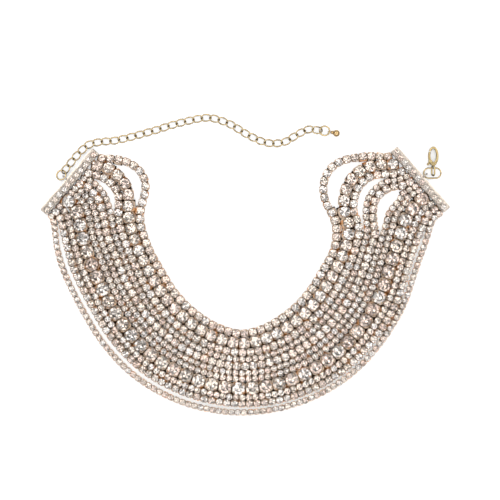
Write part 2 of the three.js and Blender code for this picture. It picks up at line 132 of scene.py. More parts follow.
PACKED_BAND = (
    sum(s["width"] for s in STRANDS)
    - (STRANDS[0]["width"] + STRANDS[OUTERMOST]["width"]) / 2
)


def bar_rib(bar, inside):
    """The rib at a distance inside a bar's outer edge."""
    angle = math.radians(bar["angle"])
    along = Vector((math.cos(angle), math.sin(angle)))
    out = Vector((-along.y, along.x))
    start = Vector((bar["x"], bar["y"])) - inside * out
    half = BAR_LENGTH / 2 - BAR_END_MARGIN
    even = (2 * half - PACKED_BAND) / (OUTERMOST + 3)
    inner = start + along * half * bar["innermost_at"]
    outer = start - along * half * bar["innermost_at"]
    gaps = {1: even, 2: 4 * even, 3: even, 4: even, 5: even, 10: even}
    return {"in_x": inner.x, "in_y": inner.y, "out_x": outer.x, "out_y": outer.y, **gaps}


def throat_rib(degrees):
    """The rib at an angle along the throat curve, from its left end."""
    angle = math.radians(degrees)
    power = THROAT["power"]
    cosine, sine = math.cos(angle), math.sin(angle)
    dx = -math.copysign(abs(cosine) ** (2 / power), cosine) * THROAT["half_width"]
    dy = -(sine ** (2 / power)) * THROAT["depth"]
    outward = Vector(
        (
            math.copysign(abs(dx) ** (power - 1), dx) / THROAT["half_width"] ** power,
            -(abs(dy) ** (power - 1)) / THROAT["depth"] ** power,
        )
    ).normalized()
    band = BAND_AT_THROAT + BAND_GROWTH * (1 - sine**10)
    side = LOOSE_OUTER_GAP["left" if dx < 0 else "right"]
    bottom = LOOSE_OUTER_GAP["bottom"]
    last = bottom + (side - bottom) * abs(cosine) ** 0.5
    even = (band - PACKED_BAND - last) / (OUTERMOST - 1)
    x, y = THROAT["x"] + dx, THROAT["y"] + dy
    rib = {"in_x": x, "in_y": y, "out_x": x + band * outward.x, "out_y": y + band * outward.y}
    return {**rib, 1: even, 2: even, 3: even, 4: even, 5: even, 10: last}


RIBS = [
    bar_rib(BARS["left"], BAR_WIDTH + CLEARANCE),
    bar_rib(BARS["left"], BAR_WIDTH + CLEARANCE + LEAD_OUT),
    *LEFT_ARM,
    *map(throat_rib, THROAT_RIBS),
    *reversed(RIGHT_ARM),
    bar_rib(BARS["right"], BAR_WIDTH + CLEARANCE + LEAD_OUT),
    bar_rib(BARS["right"], BAR_WIDTH + CLEARANCE),
]


def rib_points(rib):
    """The middle of each strand on a rib."""
    start, end = Vector((rib["in_x"], rib["in_y"])), Vector((rib["out_x"], rib["out_y"]))
    stated = {i: rib[i] for i in (1, 2, 3, 4, 5, 10)}
    span = (end - start).length
    share = (span - PACKED_BAND - sum(stated.values())) / (OUTERMOST - len(stated))
    station, points = 0, [start]
    for i in range(1, len(STRANDS)):
        halves = (STRANDS[i - 1]["width"] + STRANDS[i]["width"]) / 2
        station += halves + stated.get(i, share)
        points.append(start.lerp(end, station / span))
    return points


def smooth_route(points, steps=40):
    """Closely spaced points on a centripetal Catmull-Rom curve through these."""
    ends = [2 * points[0] - points[1], *points, 2 * points[-1] - points[-2]]
    route = []
    for p0, p1, p2, p3 in zip(ends, ends[1:], ends[2:], ends[3:]):
        d0, d1, d2 = (math.sqrt((b - a).length) for a, b in ((p0, p1), (p1, p2), (p2, p3)))
        t1 = ((p1 - p0) / d0 - (p2 - p0) / (d0 + d1) + (p2 - p1) / d1) * d1
        t2 = ((p2 - p1) / d1 - (p3 - p1) / (d1 + d2) + (p3 - p2) / d2) * d1
        for k in range(steps):
            s = k / steps
            c2, c3 = 3 * (p2 - p1) - 2 * t1 - t2, 2 * (p1 - p2) + t1 + t2
            route.append(p1 + s * (t1 + s * (c2 + s * c3)))
    return [*route, points[-1]]


class Route:
    """A polyline that gives the point and heading at a share of its length."""

    def __init__(self, points):
        self.points = points
        self.at = [0.0]
        for a, b in zip(points, points[1:]):
            self.at.append(self.at[-1] + (b - a).length)
        self.length = self.at[-1]

    def place(self, share):
        target = min(max(share, 0), 1) * self.length
        k = next(i for i in range(1, len(self.at)) if self.at[i] >= target)
        a, b = self.points[k - 1], self.points[k]
        local = (target - self.at[k - 1]) / (self.at[k] - self.at[k - 1])
        heading = math.atan2(b.y - a.y, b.x - a.x)
        return a.lerp(b, local), heading


STATIONS = [rib_points(rib) for rib in RIBS]
ROUTES = [Route(smooth_route([row[i] for row in STATIONS])) for i in range(len(STRANDS))]

# ---------- modelling helpers ----------


def primitive(add, name, **settings):
    """A fresh primitive, selected alone, with its place and size in its mesh."""
    if bpy.context.object and bpy.context.object.mode != "OBJECT":
        bpy.ops.object.mode_set(mode="OBJECT")
    bpy.ops.object.select_all(action="DESELECT")
    add(**settings)
    made = bpy.context.object
    made.name = made.data.name = name
    bpy.ops.object.transform_apply(location=True, rotation=True, scale=True)
    return made


def editing(thing):
    """Puts one object in edit mode with nothing selected."""
    bpy.ops.object.select_all(action="DESELECT")
    thing.select_set(True)
    bpy.context.view_layer.objects.active = thing
    bpy.ops.object.mode_set(mode="EDIT")
    bpy.ops.mesh.select_mode(type="FACE")
    bpy.ops.mesh.select_all(action="DESELECT")


def done():
    bpy.ops.object.mode_set(mode="OBJECT")


def pick(test):
    """Selects the faces that pass, by centre and normal."""
    bpy.ops.mesh.select_all(action="DESELECT")
    mesh = bpy.context.object.data
    shape = bmesh.from_edit_mesh(mesh)
    for face in shape.faces:
        face.select_set(test(face.calc_center_median(), face.normal))
    bmesh.update_edit_mesh(mesh)


def grow(x, y, z, middle):
    bpy.ops.transform.resize(value=(x, y, z), center_override=middle)


def joined(things, name):
    """One object of these, at the origin."""
    bpy.ops.object.select_all(action="DESELECT")
    for thing in things:
        thing.select_set(True)
    bpy.context.view_layer.objects.active = things[0]
    if len(things) > 1:
        bpy.ops.object.join()
    made = bpy.context.object
    made.name = made.data.name = name
    return made


def copy_of(thing, matrix):
    """A copy with its own mesh, moved by the matrix."""
    made = bpy.data.objects.new(thing.name, thing.data.copy())
    made.data.transform(matrix)
    bpy.context.scene.collection.objects.link(made)
    return made


def drop_patterns(*things):
    for thing in things:
        bpy.data.objects.remove(thing)


# ---------- stones, cups and plates ----------
# Modelled once for a cup of radius 1 and height 1, and scaled to each strand.

FLAT = math.cos(math.pi / 8)  # a flat of an eight-sided cup of radius 1
CUP_FOOT = 0.90
CUP_RIM = 0.74
CUP_WALL = 0.05
CUP_FLOOR = 0.1
FLOOR_SHARE = 0.8  # how much narrower the floor is than the rim
STONE_RADIUS = 0.98
GIRDLE = 0.79  # its upper edge
GIRDLE_DEPTH = 0.07
TABLE_RADIUS = 0.58
CULET = (0.08, 0.26)  # radius and height where the facets below meet
BREAK_FACET = {"in": 0.16, "up": 0.12}  # small facets on the edge of a large stone
ROUGH = {"depth": 0.80, "middle": 0.60}  # the rod that a stone is ground from
PRONG = {"out": 1.01, "up": 0.60, "size": (0.08, 0.22, 0.40)}
PRONG_TIP = {"lean": (-0.17, 0, 0.13), "width": 0.6, "in": 0.19, "up": 0.93}
PLATE_TOP = 0.20  # the square base under a cup
PLATE_CORNER = 0.14
SHADE_BACKING_TOP = 0.10  # the dark strip under the bases: a sheet of painted shade for the seams between them
SHADE_BACKING_CORNER = 0.02
CUP_SWELL = 0.16  # how much a cup may outgrow the width of its chain, where it has room
CUP_SHARE = 0.93  # of the pitch, at most


def grind(count, turn, low, high):
    """Cuts a ring of facets, each through two points given as radius and height."""
    slope = Vector((high[1] - low[1], 0, low[0] - high[0])).normalized()
    for k in range(count):
        spin = Matrix.Rotation(turn + 2 * math.pi * k / count, 3, "Z")
        bpy.ops.mesh.select_all(action="SELECT")
        bpy.ops.mesh.bisect(
            plane_co=spin @ Vector((low[0], 0, low[1])),
            plane_no=spin @ slope,
            use_fill=True,
            clear_outer=True,
        )


def cut_stone(name, large):
    """A round stone with a table and a point below, ground out of a short rod."""
    sides = 16 if large else 8
    rod = primitive(
        bpy.ops.mesh.primitive_cylinder_add,
        name,
        vertices=sides,
        radius=STONE_RADIUS,
        depth=ROUGH["depth"],
        location=(0, 0, ROUGH["middle"]),
        rotation=(0, 0, math.pi / sides),
    )
    editing(rod)
    flat = STONE_RADIUS * FLAT
    grind(8, 0, (flat, GIRDLE), (TABLE_RADIUS * FLAT, 1.0))
    if large:
        edge = STONE_RADIUS * math.cos(math.pi / 16)
        top = (edge - BREAK_FACET["in"], GIRDLE + BREAK_FACET["up"])
        grind(16, math.pi / 16, (edge, GIRDLE), top)
    grind(8, math.pi / 8, CULET, (flat, GIRDLE - GIRDLE_DEPTH))
    done()
    return rod


def cup(name):
    """An eight-sided cup that widens to its rim, hollow inside, with four claws."""
    body = primitive(
        bpy.ops.mesh.primitive_cylinder_add,
        name,
        vertices=8,
        radius=CUP_FOOT,
        depth=CUP_RIM,
        location=(0, 0, CUP_RIM / 2),
        rotation=(0, 0, math.pi / 8),
    )
    editing(body)
    pick(lambda centre, normal: normal.z > 0.9)
    grow(1 / CUP_FOOT, 1 / CUP_FOOT, 1, (0, 0, CUP_RIM))
    bpy.ops.mesh.inset(thickness=CUP_WALL * FLAT)
    down = (0, 0, CUP_FLOOR - CUP_RIM)
    bpy.ops.mesh.extrude_region_move(TRANSFORM_OT_translate={"value": down})
    grow(FLOOR_SHARE, FLOOR_SHARE, 1, (0, 0, CUP_FLOOR))
    done()
    claw = primitive(
        bpy.ops.mesh.primitive_cube_add,
        name + "_claw",
        size=1,
        location=(FLAT * PRONG["out"], 0, PRONG["up"]),
        scale=PRONG["size"],
    )
    editing(claw)
    pick(lambda centre, normal: normal.z > 0.9)
    bpy.ops.mesh.extrude_region_move(TRANSFORM_OT_translate={"value": PRONG_TIP["lean"]})
    grow(1, PRONG_TIP["width"], 1, (FLAT - PRONG_TIP["in"], 0, PRONG_TIP["up"]))
    done()
    quarter = math.pi / 2
    claws = [copy_of(claw, Matrix.Rotation(quarter * (k + 0.5), 4, "Z")) for k in range(4)]
    drop_patterns(claw)
    claws = joined(claws, "four_claws")
    return joined([body, copy_of(claws, Matrix())], name), claws


def base_plate(name, top, corner):
    """A plate under a cup, 1 long and 1 wide, with its corners off."""
    made = primitive(
        bpy.ops.mesh.primitive_cube_add,
        name,
        size=1,
        location=(0, 0, top / 2),
        scale=(1, 1, top),
    )
    editing(made)
    bpy.ops.mesh.select_mode(type="EDGE")
    edges = bmesh.from_edit_mesh(made.data).edges
    for edge in edges:
        edge.select_set(abs((edge.verts[0].co - edge.verts[1].co).z) > top / 2)
    bmesh.update_edit_mesh(made.data)
    bpy.ops.mesh.bevel(offset=corner, segments=1)
    done()
    return made


# ---------- materials ----------


def material(name):
    """A new material, its node tree and its surface shader."""
    made = bpy.data.materials.new(name)
    made.use_nodes = True
    tree = made.node_tree
    tree.nodes.clear()
    surface = tree.nodes.new("ShaderNodeBsdfPrincipled")
    output = tree.nodes.new("ShaderNodeOutputMaterial")
    tree.links.new(surface.outputs[0], output.inputs["Surface"])
    return made, tree, surface


def ramp(tree, source, stops):
    """Colours, or greys where a stop is a number, along a value."""
    node = tree.nodes.new("ShaderNodeValToRGB")
    elements = node.color_ramp.elements
    while len(elements) < len(stops):
        elements.new(1)
    for element, (at, colour) in zip(elements, stops):
        element.position = at
        element.color = (*colour, 1) if isinstance(colour, tuple) else (colour,) * 3 + (1,)
    tree.links.new(source, node.inputs["Fac"])
    return node.outputs["Color"]


def noise(tree, scale, detail=2.0):
    """Noise in the object's own coordinates."""
    place = tree.nodes.new("ShaderNodeTexCoord")
    node = tree.nodes.new("ShaderNodeTexNoise")
    node.inputs["Scale"].default_value = scale
    node.inputs["Detail"].default_value = detail
    tree.links.new(place.outputs["Object"], node.inputs["Vector"])
    return node.outputs[0]


def lot(tree):
    """The number that a stone drew, from 0 to 1."""
    node = tree.nodes.new("ShaderNodeAttribute")
    node.attribute_name = "stone_lot"
    return node.outputs["Fac"]


def cut_glass():
    made, tree, surface = material("cut_glass")
    tint = ramp(
        tree,
        lot(tree),
        [(0.0, (1.0, 0.95, 0.92)), (0.5, (1.0, 0.98, 0.96)), (1.0, (0.98, 0.98, 1.0))],
    )
    tree.links.new(tint, surface.inputs["Base Color"])
    surface.inputs["Roughness"].default_value = 0.0
    surface.inputs["IOR"].default_value = 1.56
    surface.inputs["Transmission Weight"].default_value = 1.0
    return made


def foil():
    made, tree, surface = material("foil_back")
    tint = ramp(
        tree,
        lot(tree),
        [
            (0.0, (0.93, 0.855, 0.81)),
            (0.12, (0.94, 0.885, 0.855)),
            (0.5, (0.94, 0.90, 0.86)),
            (1.0, (0.95, 0.93, 0.91)),
        ],
    )
    tree.links.new(tint, surface.inputs["Base Color"])
    surface.inputs["Metallic"].default_value = 1.0
    surface.inputs["Roughness"].default_value = 0.08
    return made


def upward(tree):
    """How far the surface faces up, from 0 on a wall to 1 on a top."""
    place = tree.nodes.new("ShaderNodeTexCoord")
    split = tree.nodes.new("ShaderNodeSeparateXYZ")
    tree.links.new(place.outputs["Normal"], split.inputs[0])
    return split.outputs["Z"]


SHADED_SIDES = 0.45  # up to this slope a surface is painted as dark as a wall: painted shade
UNSHADED_TOPS = 0.95  # and from this one it has no painted shade, like a top
POLISH_GRAIN = 2600


def gold(name, colours, roughness, sides, patches=900):
    """Plated metal, a little uneven in colour and polish, and painted darker down its sides:
    painted shade, down to the share sides on a wall.
    """
    made, tree, surface = material(name)
    plating = ramp(tree, noise(tree, patches, 3), colours)
    # painted shade: the colour darkens from the tops down to the walls
    painted_side_shade = ramp(tree, upward(tree), [(SHADED_SIDES, sides), (UNSHADED_TOPS, 1.0)])
    blend = tree.nodes.new("ShaderNodeMix")
    blend.data_type = "RGBA"
    blend.blend_type = "MULTIPLY"
    blend.inputs["Factor"].default_value = 1.0
    tree.links.new(plating, blend.inputs[6])
    tree.links.new(painted_side_shade, blend.inputs[7])
    tree.links.new(blend.outputs[2], surface.inputs["Base Color"])
    grain = noise(tree, POLISH_GRAIN)
    polish = ramp(tree, grain, [(0.3, roughness * 0.7), (0.7, roughness * 1.4)])
    tree.links.new(polish, surface.inputs["Roughness"])
    surface.inputs["Metallic"].default_value = 1.0
    return made


GLASS = cut_glass()
FOIL = foil()
# in each plating below, sides is how dark its walls are painted: painted shade
CUP_PATCHES = 260  # wide patches, since cups of one chain are plated together
# the last, orange stop puts warm glints of reflected light on the cups in random patches: painted
# reflection
CUP_GOLD = gold(
    "cup_plating",
    [(0.35, (0.72, 0.50, 0.33)), (0.56, (0.92, 0.70, 0.50)), (0.66, (0.90, 0.46, 0.20))],
    roughness=0.22,
    sides=0.45,
    patches=CUP_PATCHES,
)
# the last, orange stop puts warm glints of reflected light on the plates in random patches:
# painted reflection
PLATE_GOLD = gold(
    "plate_plating",
    [(0.35, (0.62, 0.47, 0.36)), (0.56, (0.86, 0.70, 0.56)), (0.66, (0.86, 0.44, 0.20))],
    roughness=0.3,
    sides=0.15,
    patches=CUP_PATCHES,
)
# the dark strip's colours, near black to dark brown: painted shade for the seams between the
# plates
SHADE_BACKING_GOLD = gold(
    "painted_shade_backing",
    [(0.5, (0.05, 0.03, 0.02)), (0.68, (0.50, 0.20, 0.07))],
    roughness=0.45,
    sides=0.4,
    patches=CUP_PATCHES,
)
WIRE_GOLD = gold(
    "wire_plating",
    [(0.35, (0.68, 0.52, 0.28)), (0.65, (0.86, 0.71, 0.44))],
    roughness=0.16,
    sides=0.15,
)
BAR_GOLD = gold(
    "bar_plating",
    [(0.35, (0.60, 0.53, 0.46)), (0.65, (0.78, 0.70, 0.62))],
    roughness=0.25,
    sides=0.15,
)
DROP_GOLD = gold(
    "drop_plating",
    [(0.35, (0.68, 0.45, 0.20)), (0.65, (0.84, 0.61, 0.32))],
    roughness=0.22,
    sides=0.3,
)
CLASP_GOLD = gold(
    "clasp_plating",
    [(0.35, (0.76, 0.58, 0.28)), (0.65, (0.90, 0.74, 0.42))],
    roughness=0.2,
    sides=0.15,
)


def coat(thing, *materials):
    thing.data.materials.clear()
    for one in materials:
        thing.data.materials.append(one)


FOIL_BELOW = -0.05  # faces that point further down than this are foil


def back_with_foil(stone):
    """Glass above the girdle, foil on the faces that point down."""
    coat(stone, GLASS, FOIL)
    for face in stone.data.polygons:
        face.material_index = 1 if face.normal.z < FOIL_BELOW else 0
        face.use_smooth = False


# ---------- strands ----------

small_stone = cut_stone("small_stone", False)
large_stone = cut_stone("large_stone", True)
one_cup, four_claws = cup("one_cup")
plate = base_plate("plate", PLATE_TOP, PLATE_CORNER)
shade_backing = base_plate("shade_backing", SHADE_BACKING_TOP, SHADE_BACKING_CORNER)
for stone in (small_stone, large_stone):
    back_with_foil(stone)
coat(one_cup, CUP_GOLD)
coat(four_claws, BAR_GOLD)
coat(plate, PLATE_GOLD)
coat(shade_backing, SHADE_BACKING_GOLD)


def draw_lot(thing):
    """Gives all of a stone the number it draws."""
    attribute = thing.data.attributes.new("stone_lot", "FLOAT", "POINT")
    value = chance.random()
    attribute.data.foreach_set("value", [value] * len(thing.data.vertices))


def at_place(point, heading, height=0.0):
    return Matrix.Translation(Vector((point.x, point.y, height)) * MM + SHIFT) @ Matrix.Rotation(
        heading, 4, "Z"
    )


def route_tree(route):
    tree = KDTree(len(route.points))
    for k, point in enumerate(route.points):
        tree.insert((point.x, point.y, 0), k)
    tree.balance()
    return tree


TREES = [route_tree(route) for route in ROUTES]
TOUCHING = 0.06  # what is left between the plates of neighbours
LOOSE = 1.2  # two strands further apart than this stand alone
# the same where it differs, by the outer strand of the two
LOOSE_PAIRS = {1: 2.3, 3: 0.85, 5: 0.9, OUTERMOST: 0.75}
FREE_ROOM = 0.1  # how far a cup may reach past a free side
PLATE_EDGE = 0.25  # the same for the bright base
SHADE_BACKING_EDGE = -0.4  # and for the dark strip under it, which is painted shade
SEAM = 0.34  # the gap between the bases, where the strip of painted shade below shows as a dark line
SHADE_BACKING_LAP = 1.15  # the pieces of backing overlap, so that bends stay closed
LEAN = 2.5  # degrees, how unevenly the stones are set
TURN = 2.5  # degrees, how unevenly the cups are turned
SINK = Matrix.Diagonal((1, 1, 0.97, 1))  # keeps a leaning stone inside its height


def room_beside(index, point):
    """The room for the plates here on the inner and on the outer side, None where it is free."""
    rooms = []
    for other in (index - 1, index + 1):
        gap = loose = LOOSE_PAIRS.get(max(index, other), LOOSE)
        if 0 <= other <= OUTERMOST:
            away = TREES[other].find((point.x, point.y, 0))[2]
            gap = away - (STRANDS[index]["width"] + STRANDS[other]["width"]) / 2
        rooms.append((gap - TOUCHING) / 2 if gap < loose else None)
    return rooms


def reach(room, free, inset):
    """How far a piece reaches past the side of its strand."""
    return free if room is None else room - inset


def strand(index):
    """A strand of stones, each in its own cup on a bright plate, over a dark strip of painted
    shade that shows in the seams.
    """
    size = STRANDS[index]
    route = ROUTES[index]
    name = f"strand_{index + 1:02d}"
    count = round(route.length / size["pitch"])
    step = route.length / count
    pattern = large_stone if size["large"] else small_stone
    stones, cups = [], []
    for k in range(count):
        point, heading = route.place((k + 0.5) / count)
        inner, outer = room_beside(index, point)
        least = min(reach(room, FREE_ROOM, 0) for room in (inner, outer))
        swell = min(CUP_SWELL, 2 * least / size["width"], CUP_SHARE * step / size["width"] - 1)
        radius = (1 + swell) * size["width"] / 2 / FLAT
        scale = Matrix.Diagonal((radius * MM, radius * MM, size["height"] * MM, 1))
        lean = Matrix.Rotation(math.radians(chance.gauss(0, LEAN)), 4, "X")
        lean @= Matrix.Rotation(math.radians(chance.gauss(0, LEAN)), 4, "Y")
        place = at_place(point, heading + math.radians(chance.gauss(0, TURN)))
        stones.append(copy_of(pattern, place @ lean @ SINK @ scale))
        draw_lot(stones[-1])
        cups.append(copy_of(one_cup, place @ scale))
        for part, length, free, inset in (
            (plate, step - SEAM, PLATE_EDGE, SEAM / 2),
            (shade_backing, step * SHADE_BACKING_LAP, SHADE_BACKING_EDGE, 0),
        ):
            left, right = reach(inner, free, inset), reach(outer, free, inset)
            across = (size["width"] + left + right) * MM
            part_scale = Matrix.Diagonal((length * MM, across, size["height"] * MM, 1))
            shift = Matrix.Translation((0, (left - right) / 2 * MM, 0))
            cups.append(copy_of(part, at_place(point, heading) @ shift @ part_scale))
    stones = joined(stones, name + "_stones")
    cups = joined(cups, name + "_cups")
    for thing in (stones, cups):
        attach(thing, "choker")
        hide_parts(name)


for i in range(len(STRANDS)):
    strand(i)

# ---------- end bars ----------

BAR_STONES = 12
BAR_STONE_PITCH = 3.0
BAR_STONE_RADIUS = 1.47
BAR_STONE_TOP = 3.3
BAR_RIM = 0.95
SEAT_FLOOR = 0.5
SEAT_SHARE = 0.97  # of the stone's radius
BAR_CORNER = 0.8
BAR_EDGE = 0.25
EYE = {"radius": 1.15, "wire": 0.38, "out": 0.75, "height": 1.75}
ROW_AT = -(BAR_RIM + (BAR_WIDTH - BAR_RIM) / 2)


def shaped(thing, kind, **settings):
    """Adds a modifier and applies it."""
    bpy.ops.object.select_all(action="DESELECT")
    thing.select_set(True)
    bpy.context.view_layer.objects.active = thing
    modifier = thing.modifiers.new(kind.lower(), kind)
    for key, value in settings.items():
        setattr(modifier, key, value)
    bpy.ops.object.modifier_apply(modifier=modifier.name)
    return thing


def with_tool(thing, tool, operation):
    """Cuts, keeps or adds what the tool fills, and removes the tool."""
    shaped(thing, "BOOLEAN", object=tool, operation=operation, solver="EXACT")
    drop_patterns(tool)
    return thing


def smooth(thing, degrees=35):
    bpy.ops.object.select_all(action="DESELECT")
    thing.select_set(True)
    bpy.context.view_layer.objects.active = thing
    bpy.ops.object.shade_smooth_by_angle(angle=math.radians(degrees))


def ring(name, radius, wire, stretch=0.0, around=32, across=10):
    """A ring of round wire, drawn out along X."""
    made = primitive(
        bpy.ops.mesh.primitive_torus_add,
        name,
        major_segments=around,
        minor_segments=across,
        major_radius=radius * MM,
        minor_radius=wire * MM,
    )
    if stretch:
        for side in (-1, 1):
            editing(made)
            bpy.ops.mesh.select_mode(type="VERT")
            shape = bmesh.from_edit_mesh(made.data)
            for vertex in shape.verts:
                vertex.select_set(vertex.co.x * side > 1e-6)
            bmesh.update_edit_mesh(made.data)
            bpy.ops.transform.translate(value=(side * stretch * MM, 0, 0))
            done()
    bpy.ops.object.shade_smooth()
    return made


def turned(thing, *turns):
    """Turns a mesh about its own origin: pairs of axis and degrees, in order."""
    for axis, degrees in turns:
        thing.data.transform(Matrix.Rotation(math.radians(degrees), 4, axis))
    return thing


def moved(thing, x, y, z=0.0):
    thing.data.transform(Matrix.Translation(Vector((x, y, z)) * MM))
    return thing


def block(name, low, high):
    """A box between two corners, in millimetres."""
    middle = [(a + b) / 2 * MM for a, b in zip(low, high)]
    size = [(b - a) * MM for a, b in zip(low, high)]
    return primitive(
        bpy.ops.mesh.primitive_cube_add, name, size=1, location=middle, scale=size
    )


def end_bar(side):
    """A bar with a row of seats, a stone with four claws in each, and an upright eye."""
    bar = BARS[side]
    name = side + "_end_bar"
    half = BAR_LENGTH / 2
    body = block(name, (-half, -BAR_WIDTH, 0), (half, 0, BAR_HEIGHT))
    editing(body)
    bpy.ops.mesh.select_mode(type="EDGE")
    for edge in bmesh.from_edit_mesh(body.data).edges:
        edge.select_set(abs((edge.verts[0].co - edge.verts[1].co).z) > MM)
    bpy.ops.mesh.bevel(offset=BAR_CORNER * MM, segments=4)
    bpy.ops.mesh.select_mode(type="FACE")
    pick(lambda centre, normal: abs(normal.z) > 0.9)
    bpy.ops.mesh.region_to_loop()
    bpy.ops.mesh.bevel(offset=BAR_EDGE * MM, segments=2)
    done()
    stones, claws = [], []
    stone_scale = Matrix.Diagonal(
        (BAR_STONE_RADIUS * MM, BAR_STONE_RADIUS * MM, BAR_STONE_TOP * MM, 1)
    )
    for k in range(BAR_STONES):
        x = (k - (BAR_STONES - 1) / 2) * BAR_STONE_PITCH
        seat = primitive(
            bpy.ops.mesh.primitive_cylinder_add,
            "seat",
            vertices=16,
            radius=BAR_STONE_RADIUS * SEAT_SHARE * MM,
            depth=2 * (BAR_HEIGHT - SEAT_FLOOR) * MM,
            location=(x * MM, ROW_AT * MM, BAR_HEIGHT * MM),
        )
        with_tool(body, seat, "DIFFERENCE")
        place = Matrix.Translation(Vector((x, ROW_AT, 0)) * MM)
        lean = Matrix.Rotation(math.radians(chance.gauss(0, LEAN)), 4, "X")
        lean @= Matrix.Rotation(math.radians(chance.gauss(0, LEAN)), 4, "Y")
        stones.append(copy_of(small_stone, place @ lean @ stone_scale))
        draw_lot(stones[-1])
        claws.append(copy_of(four_claws, place @ stone_scale))
    eye = turned(ring("eye", EYE["radius"], EYE["wire"]), ("Y", 90))
    moved(eye, 0, EYE["out"], EYE["height"])
    coat(body, BAR_GOLD)
    coat(eye, BAR_GOLD)
    body = joined([body, eye, *claws], name + "_metal")
    smooth(body)
    stones = joined(stones, name + "_stones")
    for thing in (body, stones):
        thing.data.transform(at_place(Vector((bar["x"], bar["y"])), math.radians(bar["angle"])))
        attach(thing, "choker")
        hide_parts(name)


end_bar("left")
end_bar("right")
drop_patterns(small_stone, large_stone, one_cup, plate, shade_backing, four_claws)

# ---------- extender ----------

LINK = {"pitch": 3.9, "half_length": 2.28, "half_width": 1.56, "wire": 0.37, "twist": -90}
RING = {"radius": 2.25, "wire": 0.4, "height": 1.22, "tilt": 20, "first_link": 3.45}
JUMP_RING = Vector((-84.7, 41.2))
END_RING = Vector((36.7, 61.6))
EXTENDER = [
    Vector(point)
    for point in (
        (-79.9, 47.4),
        (-76.4, 51.4),
        (-72.4, 55.0),
        (-67.3, 56.4),
        (-59.5, 57.2),
        (-43.7, 61.2),
        (-31.0, 65.0),
        (-19.3, 67.5),
        (-15.0, 67.4),
        (-7.4, 64.9),
        (2.3, 59.2),
        (10.1, 56.1),
        (17.9, 56.4),
        (24.8, 60.3),
        (29.6, 62.3),
    )
]
LINK_HEIGHT = 1.0
start_heading = (EXTENDER[0] - JUMP_RING).normalized()
end_heading = (END_RING - EXTENDER[-1]).normalized()
extender = Route(
    smooth_route(
        [
            JUMP_RING + RING["first_link"] * start_heading,
            *EXTENDER,
            END_RING - RING["first_link"] * end_heading,
        ]
    )
)


def finished(thing, look, nodes, body="choker"):
    coat(thing, look)
    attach(thing, body)
    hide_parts(*nodes)


def extender_chain():
    pull = LINK["half_length"] - LINK["half_width"]
    link = ring("link", LINK["half_width"], LINK["wire"], pull, 20, 8)
    twist = math.radians(LINK["twist"])
    shaped(link, "SIMPLE_DEFORM", deform_method="TWIST", deform_axis="X", angle=twist)
    gaps = round(extender.length / LINK["pitch"])
    links = []
    for k in range(gaps + 1):
        point, heading = extender.place(k / gaps)
        lift = LINK_HEIGHT + (RING["height"] - LINK_HEIGHT) * (k in (0, gaps))
        links.append(copy_of(link, at_place(point, heading, lift)))
    drop_patterns(link)
    chain = joined(links, "extender_links")
    finished(chain, WIRE_GOLD, ["extender_chain"])


def angle_of(direction):
    return math.atan2(direction.y, direction.x)


def round_ring(name, node, middle, heading, tilt):
    made = turned(ring(name, RING["radius"], RING["wire"]), ("X", tilt))
    made.data.transform(at_place(middle, angle_of(heading), RING["height"]))
    finished(made, WIRE_GOLD, [node])


DROP = {"heading": -12, "eye": 0.8, "eye_wire": 0.2, "ball": 1.6, "neck": 0.85}
DROP_STEPS = {"to_eye": 0.04, "to_neck": 1.35, "to_ball": 1.9}  # from the ring outwards


def ball(name, radius, x):
    return primitive(
        bpy.ops.mesh.primitive_uv_sphere_add,
        name,
        segments=32,
        ring_count=16,
        radius=radius * MM,
        location=(x * MM, 0, DROP["ball"] * MM),
        rotation=(0, math.pi / 2, 0),
    )


def extender_drop():
    """Two balls run together, and a small upright eye round the end ring."""
    eye_at = RING["radius"] + DROP_STEPS["to_eye"]
    neck_at = eye_at + DROP_STEPS["to_neck"]
    ball_at = neck_at + DROP_STEPS["to_ball"]
    heading = math.radians(DROP["heading"])
    bearing = heading - angle_of(end_heading)
    lift = RING["radius"] * math.sin(bearing) * math.sin(math.radians(RING["tilt"]))
    body = ball("drop", DROP["ball"], ball_at)
    with_tool(body, ball("neck", DROP["neck"], neck_at), "UNION")
    smooth(body)
    eye = turned(ring("drop_eye", DROP["eye"], DROP["eye_wire"], 0, 24, 8), ("X", 90))
    moved(eye, eye_at, 0, RING["height"] + lift)
    body = joined([body, eye], "drop")
    body.data.transform(at_place(END_RING, heading))
    finished(body, DROP_GOLD, ["extender_drop"])


extender_chain()
round_ring("jump_ring", "extender_ring", JUMP_RING, start_heading, -RING["tilt"])
round_ring("end_ring", "extender_end_ring", END_RING, end_heading, RING["tilt"])
extender_drop()

# ---------- clasp ----------

OVAL = {"x": 86.3, "y": 42.1, "half_length": 3.95, "half_width": 2.35, "wire": 0.38, "height": 1.6}
CLASP = {"x": 86.7, "y": 49.9, "height": 1.6, "thickness": 2.6}
CLAW = {"half_width": 2.45, "half_length": 4.5, "mouth": (1.25, 2.95), "mouth_up": 0.3}
CLAW_RIM = 0.45
LEVER_RIM = 0.35
RIM_STEPS = 4
RIM_ANGLE = 40  # degrees: an edge that turns further than this is a rim
PIVOT = {"x": -1.3, "y": -2.55, "pin": 0.4, "boss": 1.0, "gap": 1.9, "play": 0.22, "sunk": 0.05}
GATE_SIDE = -0.7  # the claw's side is open from here outwards
GATE_FOOT = 0.75  # above the pivot
GATE_KEPT = 0.2  # above the pivot, where the lever's own arm begins
WAY = {"low": 1.9, "in": 0.35}  # the lever's way out past the pivot
TAB = {"low": (-0.55, -0.45), "high": (0.55, 0.75), "angle": 135, "left": 0.95, "down": 0.98}
PAST = {"side": 3, "faces": 2, "way": 4, "mouth": 3}  # how far cutting tools reach past the claw
LEVER_TOP = 2.0
LEVER_THICKNESS = 1.3
CLASP_EYE = {"y": -6.65, "half_length": 2.3, "half_width": 1.2, "wire": 0.4, "tilt": 62}


